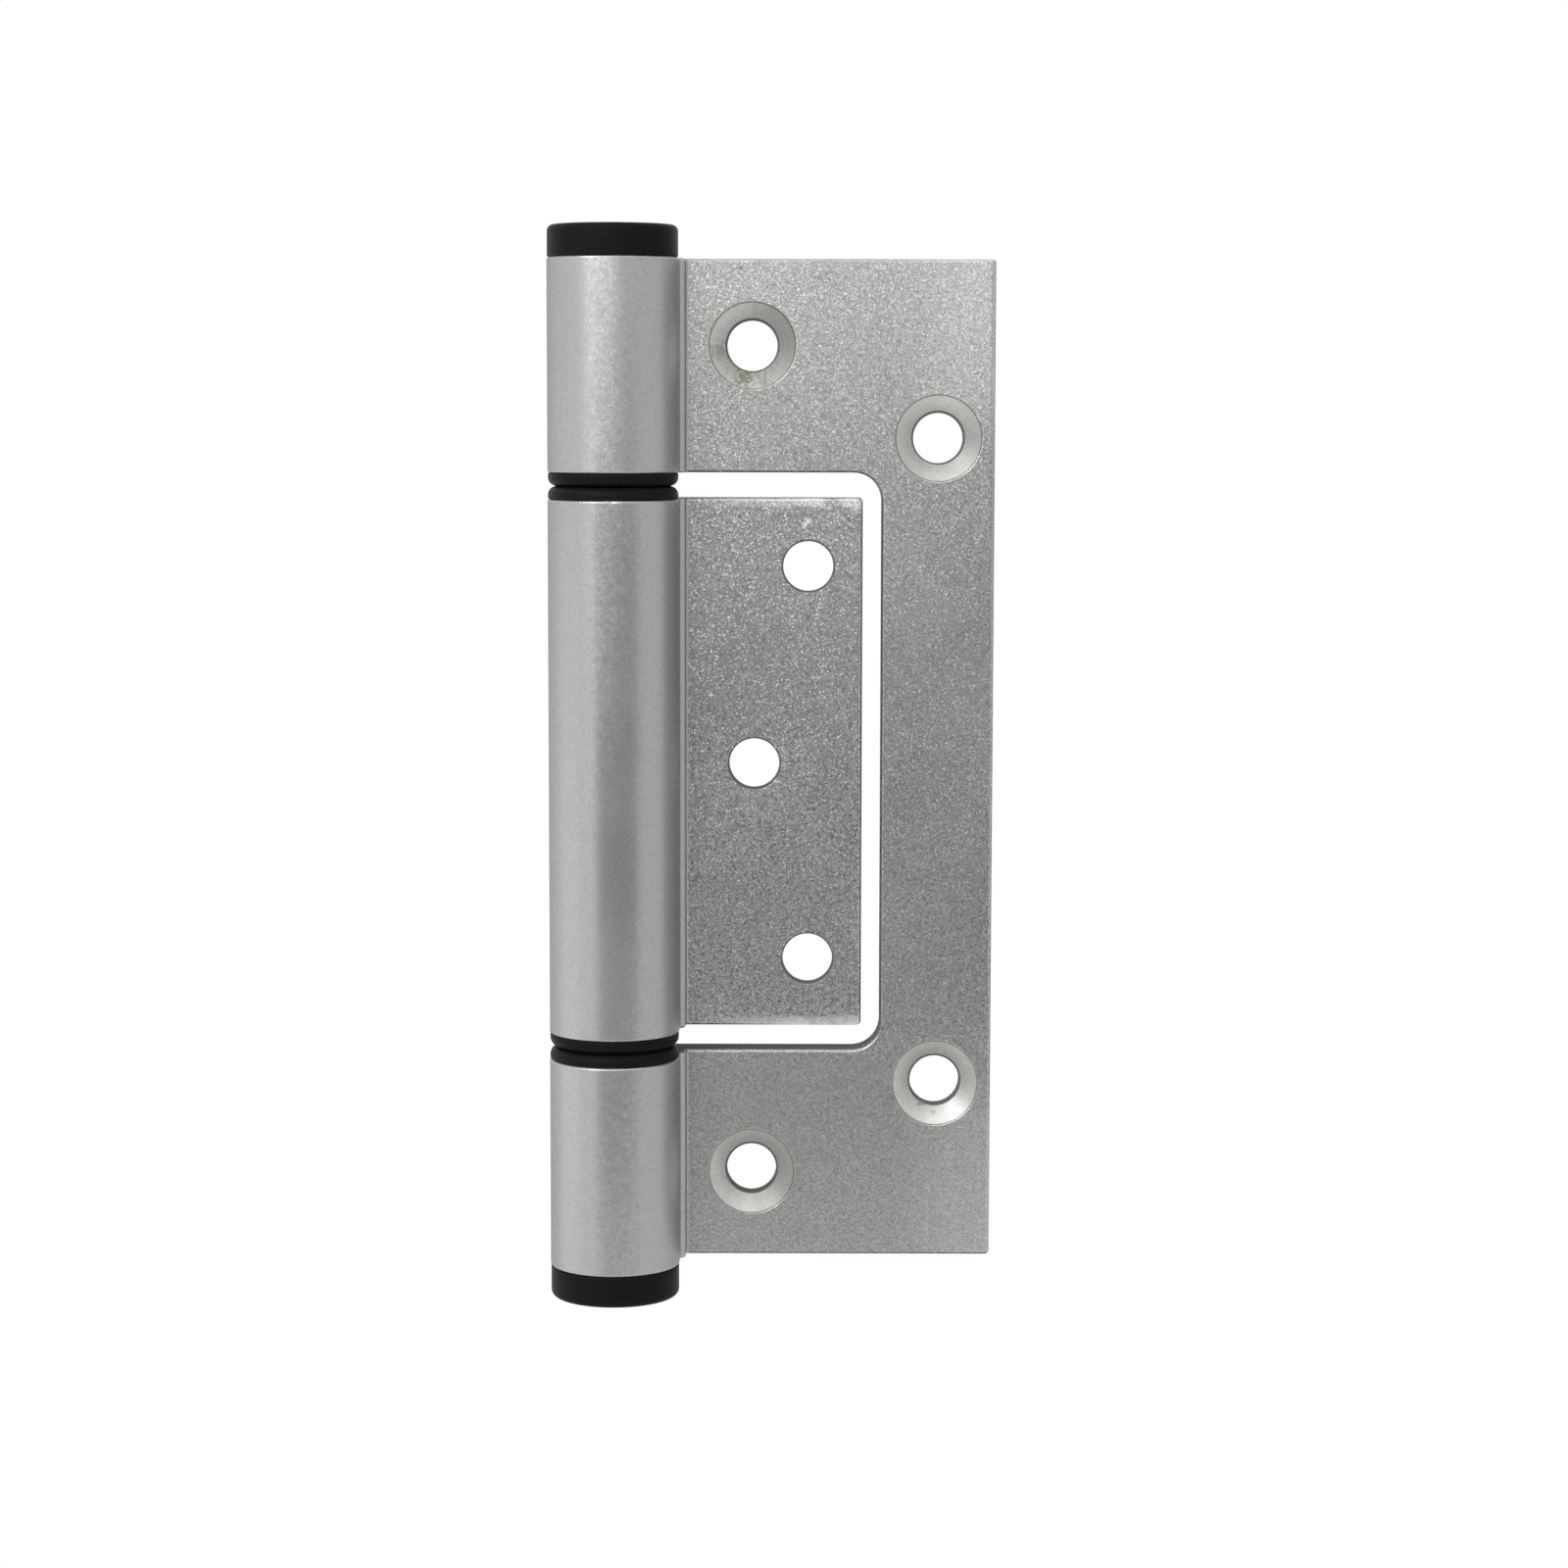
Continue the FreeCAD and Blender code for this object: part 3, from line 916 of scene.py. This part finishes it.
# %% Spin the bushes
KNUCKLE_BORE = 8.0 * MM
PUSH_FIT = 0.02 * MM
RUNNING_FIT = 0.04 * MM
FLANGE_GAP = 0.02 * MM
FLANGE_ROUNDING = 0.85 * MM
BROKEN_EDGE = 0.12 * MM
flange_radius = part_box("centre_upper_bush")[1].x - pin_x
pin_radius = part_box("hinge_pin")[1].x - pin_x
tube_radius = KNUCKLE_BORE / 2 - PUSH_FIT
tube_length = sash_high.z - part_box("centre_upper_bush")[0].z
bush_bore = pin_radius + RUNNING_FIT
rubbing_face = (window_top - sash_high.z - FLANGE_GAP) / 2


def bush_section():
    return round_section([
        (bush_bore, rubbing_face, 0.15 * MM),
        (bush_bore, -tube_length, 0.0),
        (tube_radius, -tube_length, 0.3 * MM),
        (tube_radius, 0.0, 0.0),
        (flange_radius, 0.0, BROKEN_EDGE),
        (flange_radius, rubbing_face, FLANGE_ROUNDING),
    ])


bushes = {
    "upper_knuckle_bush": ("frame_side", window_top, False),
    "centre_upper_bush": ("sash_side", sash_high.z, True),
    "centre_lower_bush": ("sash_side", sash_low.z, False),
    "lower_knuckle_bush": ("frame_side", -window_top, True),
}
for name, (body, base_z, upwards) in bushes.items():
    bush = spin(name + "_moulded", bush_section(), base_z, upwards)
    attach(bush, body)
    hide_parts(name)
    print(bush.name, "stands on z", round(base_z / MM, 2), "mm")

# %% [markdown]
# ### End caps
# A cap plugs each end of the barrel. Its head is thick, and thick mouldings shrink as they cool, so
# the top sinks by a few hundredths of a millimetre in the middle. That shallow dish is what
# keeps a moulded disc from looking like a cut one.

# %% Spin the caps
CAP_ROUNDING = 0.62 * MM
SOCKET_DEPTH = 4.5 * MM
SINK = 0.05 * MM
ON_AXIS = 1e-6
cap_low, cap_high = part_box("top_end_cap")
cap_radius = cap_high.x - pin_x
cap_height = cap_high.z - frame_high.z
spigot_length = frame_high.z - cap_low.z


def cap_section():
    socket_radius = pin_radius + PUSH_FIT
    socket_end = SOCKET_DEPTH - spigot_length
    return round_section([
        (ON_AXIS, cap_height - SINK, 0.0),
        (ON_AXIS, socket_end, 0.0),
        (socket_radius, socket_end, 0.0),
        (socket_radius, -spigot_length, 0.0),
        (tube_radius, -spigot_length, 0.4 * MM),
        (tube_radius, 0.0, 0.0),
        (cap_radius, 0.0, BROKEN_EDGE),
        (cap_radius, cap_height, CAP_ROUNDING),
        (0.72 * cap_radius, cap_height, 0.8 * MM),
        (0.45 * cap_radius, cap_height - SINK, 0.8 * MM),
    ])


for name, base_z, upwards in (("top_end_cap", frame_high.z, True), ("bottom_end_cap", frame_low.z, False)):
    cap = spin(name + "_moulded", cap_section(), base_z, upwards)
    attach(cap, "frame_side")
    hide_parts(name)
    print(cap.name, "has a head of", round(cap_height / MM, 2), "mm")

# %% [markdown]
# ## The pin
# The pin is ground stainless steel. Closed, the hinge hides it, and it keeps the form that it
# has in the construction. Centreless grinding leaves fine rings round it, so its bump follows the height.

# %% Material: ground steel
def pin_finish():
    material = bpy.data.materials.new("ground steel")
    material.use_nodes = True
    tree = material.node_tree
    steel = tree.nodes["Principled BSDF"]
    steel.inputs["Metallic"].default_value = 1.0
    position = tree.nodes.new("ShaderNodeTexCoord").outputs["Object"]
    height = place(tree, "SeparateXYZ", {"Vector": position}).outputs["Z"]
    ground = use_group(tree, tool_marks, {"Position": position, "Distance": height, "Pitch": 0.12 * MM})
    marks = use_group(tree, handling_marks, {"Position": position, "Scratch Length": 12 * MM, "Amount": 0.6})
    feed(tree, steel.inputs["Base Color"],
         mix_colour(tree, marks["Smudges"], (0.55, 0.55, 0.56, 1.0), (0.60, 0.60, 0.61, 1.0)))
    feed(tree, steel.inputs["Roughness"], calc(tree, "MULTIPLY_ADD", ground["Height"], 0.06, 0.24))
    rings = place(tree, "Bump", {"Height": ground["Height"], "Strength": 0.2, "Distance": 0.01 * MM})
    feed(tree, steel.inputs["Normal"], rings.outputs["Normal"])
    return material


frame["nodes"]["hinge_pin"].material_slots[0].material = pin_finish()
print("material:", frame["nodes"]["hinge_pin"].material_slots[0].material.name)

# %% [markdown]
# ## The white room
# The picture shows the hinge on plain white. Here the world is that white for every ray that can show it:
# camera rays, reflections in the metal and rays through glass. Light that spreads diffusely gets less from
# it, so that paper and plastic aren't flooded and a colour renders about as it is written.

# %% World
ROOM_LIGHT = 0.70


def seen_ray(tree):
    """1 for the rays that show a background: to the camera, off metal and through glass."""
    rays = tree.nodes.new("ShaderNodeLightPath").outputs
    mirrored = calc(tree, "MAXIMUM", rays["Is Glossy Ray"], rays["Is Transmission Ray"])
    return calc(tree, "MAXIMUM", rays["Is Camera Ray"], mirrored)


room = bpy.data.worlds.new("white room")
room.use_nodes = True
sky = room.node_tree.nodes["Background"]
sky.inputs["Color"].default_value = (1.0, 1.0, 1.0, 1.0)
feed(room.node_tree, sky.inputs["Strength"],
     calc(room.node_tree, "MULTIPLY_ADD", seen_ray(room.node_tree), 1.0 - ROOM_LIGHT, ROOM_LIGHT))
bpy.context.scene.world = room
print("room light", ROOM_LIGHT)

# %% [markdown]
# ## The floor
# A flush hinge hangs on a frame and never stands, so the floor lies a hand's length below it and takes its
# soft shadow there. It is a round sheet of paper. Towards its edge the paper blends into the white of the
# room, as a sheet does that is lit from behind, so no horizon cuts through the picture.

# %% A round sheet of paper
FLOOR_DROP = 0.15
FLOOR_RADIUS = 2.0
FLOOR_SIDES = 96
floor_z = cad_box[0].z - FLOOR_DROP


def stand_in_studio(name, mesh):
    """Puts a mesh in the scene by itself, attached to no body of the hinge."""
    prop = bpy.data.objects.new(name, mesh)
    bpy.context.scene.collection.objects.link(prop)
    return prop


def make_floor():
    """A disc of one face."""
    rim = []
    for step in range(FLOOR_SIDES):
        angle = 2 * math.pi * step / FLOOR_SIDES
        rim.append((FLOOR_RADIUS * math.cos(angle), FLOOR_RADIUS * math.sin(angle), floor_z))
    mesh = bpy.data.meshes.new("floor")
    mesh.from_pydata(rim, [], [tuple(range(FLOOR_SIDES))])
    return stand_in_studio("floor", mesh)


print("the floor lies at z", round(floor_z / MM, 1), "mm")

# %% [markdown]
# The paper is a shade under white, with faint fibres. Round the object it is only paper, so the shadow shows
# on it. Further out it turns into an even white light, but only for the rays that show a background.

# %% Material: white paper
FADE_TO_WHITE = (0.14, 0.34)


def paper():
    material = bpy.data.materials.new("white paper")
    material.use_nodes = True
    tree = material.node_tree
    sheet = tree.nodes["Principled BSDF"]
    sheet.inputs["Specular IOR Level"].default_value = 0.1
    sheet.inputs["Roughness"].default_value = 0.9
    position = tree.nodes.new("ShaderNodeTexCoord").outputs["Object"]
    fibres = place(tree, "TexNoise", {"Vector": position, "Scale": 60.0, "Detail": 4.0})
    feed(tree, sheet.inputs["Base Color"],
         mix_colour(tree, fibres.outputs["Fac"], (0.93, 0.93, 0.93, 1.0), (0.95, 0.95, 0.95, 1.0)))
    away = vector_calc(tree, "DISTANCE", position, (0.0, 0.0, floor_z))
    blend = calc(tree, "MULTIPLY", ramp(tree, away, *FADE_TO_WHITE), seen_ray(tree))
    glow = place(tree, "Emission", {"Color": (1.0, 1.0, 1.0, 1.0), "Strength": 1.0})
    mixed = place(tree, "MixShader", {"Fac": blend})
    feed(tree, mixed.inputs[1], sheet.outputs["BSDF"])
    feed(tree, mixed.inputs[2], glow.outputs["Emission"])
    feed(tree, tree.nodes["Material Output"].inputs["Surface"], mixed.outputs["Shader"])
    return material


floor = make_floor()
floor.data.materials.append(paper())
print("material:", floor.data.materials[0].name)

# %% [markdown]
# ## Cards and lamps
# Satin metal shows the room around it as soft bands. In a room that is white all round it looks like paper,
# so a photographer holds dark cards where the metal should turn dark. One card hangs behind the camera: it
# darkens the middle of the barrel and the flats, and because it ends a little above the hinge's middle, the
# leaf grows brighter upwards. A pale card on the right keeps that side quieter than the left. The cards hide
# from the camera, so they never stand in a view from another side.

# %% Cards
def hang_card(name, low, high, brightness):
    """A flat card between two opposite corners that share an x or a y, as bright as given everywhere."""
    (x0, y0, z0), (x1, y1, z1) = low, high
    mesh = bpy.data.meshes.new(name)
    mesh.from_pydata([(x0, y0, z0), (x1, y1, z0), (x1, y1, z1), (x0, y0, z1)], [], [(0, 1, 2, 3)])
    card_face = bpy.data.materials.new(name)
    card_face.use_nodes = True
    face = card_face.node_tree.nodes["Principled BSDF"]
    face.inputs["Base Color"].default_value = (0.0, 0.0, 0.0, 1.0)
    face.inputs["Specular IOR Level"].default_value = 0.0
    face.inputs["Emission Color"].default_value = (1.0, 1.0, 1.0, 1.0)
    face.inputs["Emission Strength"].default_value = brightness
    mesh.materials.append(card_face)
    card = stand_in_studio(name, mesh)
    card.visible_camera = False
    print(name, "as bright as", brightness)


hang_card("dark card", (-0.25, -0.46, -0.135), (0.45, -0.46, 0.016), 0.14)
hang_card("pale card", (0.40, -0.40, floor_z + 0.01), (0.40, 0.45, 0.42), 0.80)

# %% [markdown]
# Four soft boxes do the rest. The large one, above and to the left of the camera, gives the broad highlight
# on the barrel. One overhead lights the ends and caps, and a faint one low on the left lifts the foot of the
# barrel. The small bright one high on the left is there for the countersinks: the lower right of a cone
# faces up and to the left, so it shines only when a lamp stands there. A lamp's wattage follows from its
# size and from how bright its face looks, where 1 is the white of the room.

# %% Lamps
def soft_box(name, place_at, aim_at, width, height, brightness):
    lamp = bpy.data.lights.new(name, "AREA")
    lamp.shape = "RECTANGLE"
    lamp.size = width
    lamp.size_y = height
    lamp.energy = math.pi * width * height * brightness
    box = bpy.data.objects.new(name, lamp)
    box.location = place_at
    box.rotation_euler = (Vector(aim_at) - Vector(place_at)).to_track_quat("-Z", "Y").to_euler()
    bpy.context.scene.collection.objects.link(box)
    print(name, round(lamp.energy, 2), "W")


soft_box("upper left lamp", (-0.26, -0.55, 0.27), (-0.26, 0.0, 0.27), 0.62, 0.32, 2.0)
soft_box("top lamp", (0.0, -0.08, 0.50), (0.0, -0.04, 0.0), 0.40, 0.22, 0.6)
soft_box("low left lamp", (-0.45, -0.05, -0.10), (0.0, -0.05, -0.10), 0.35, 0.18, 0.2)
soft_box("high left lamp", (-0.40, -0.40, 0.45), (0.0, -0.01, 0.0), 0.24, 0.24, 7.5)

# %% [markdown]
# ## Camera
# The camera's place was found from the hinge's own edges in the picture. It stands 36 cm in front of the
# pin and a little above the middle, and looks down by six degrees, so the undersides of the upper
# pieces and the tops of the lower ones show. A lens of 84 mm keeps the sides nearly parallel.

# %% Place the camera
CAMERA_DISTANCE = 0.360
CAMERA_RIGHT_OF_PIN = 0.01682
CAMERA_HEIGHT = 0.0364
CAMERA_PITCH = 6.03
CAMERA_ROLL = 0.117
CAMERA_LENS = 84.0

lens = bpy.data.cameras.new("camera")
lens.lens = CAMERA_LENS
lens.sensor_width = 36.0
lens.clip_start = 0.01
camera = bpy.data.objects.new("camera", lens)
camera.location = (pin_x + CAMERA_RIGHT_OF_PIN, pin_y - CAMERA_DISTANCE, CAMERA_HEIGHT)
tilt = Matrix.Rotation(math.radians(90 - CAMERA_PITCH), 3, "X")
roll = Matrix.Rotation(math.radians(CAMERA_ROLL), 3, "Z")
camera.rotation_euler = (tilt @ roll).to_euler()
bpy.context.scene.collection.objects.link(camera)
bpy.context.scene.camera = camera
bpy.context.scene.view_settings.view_transform = "Standard"
print("camera at", [round(value, 4) for value in camera.location])
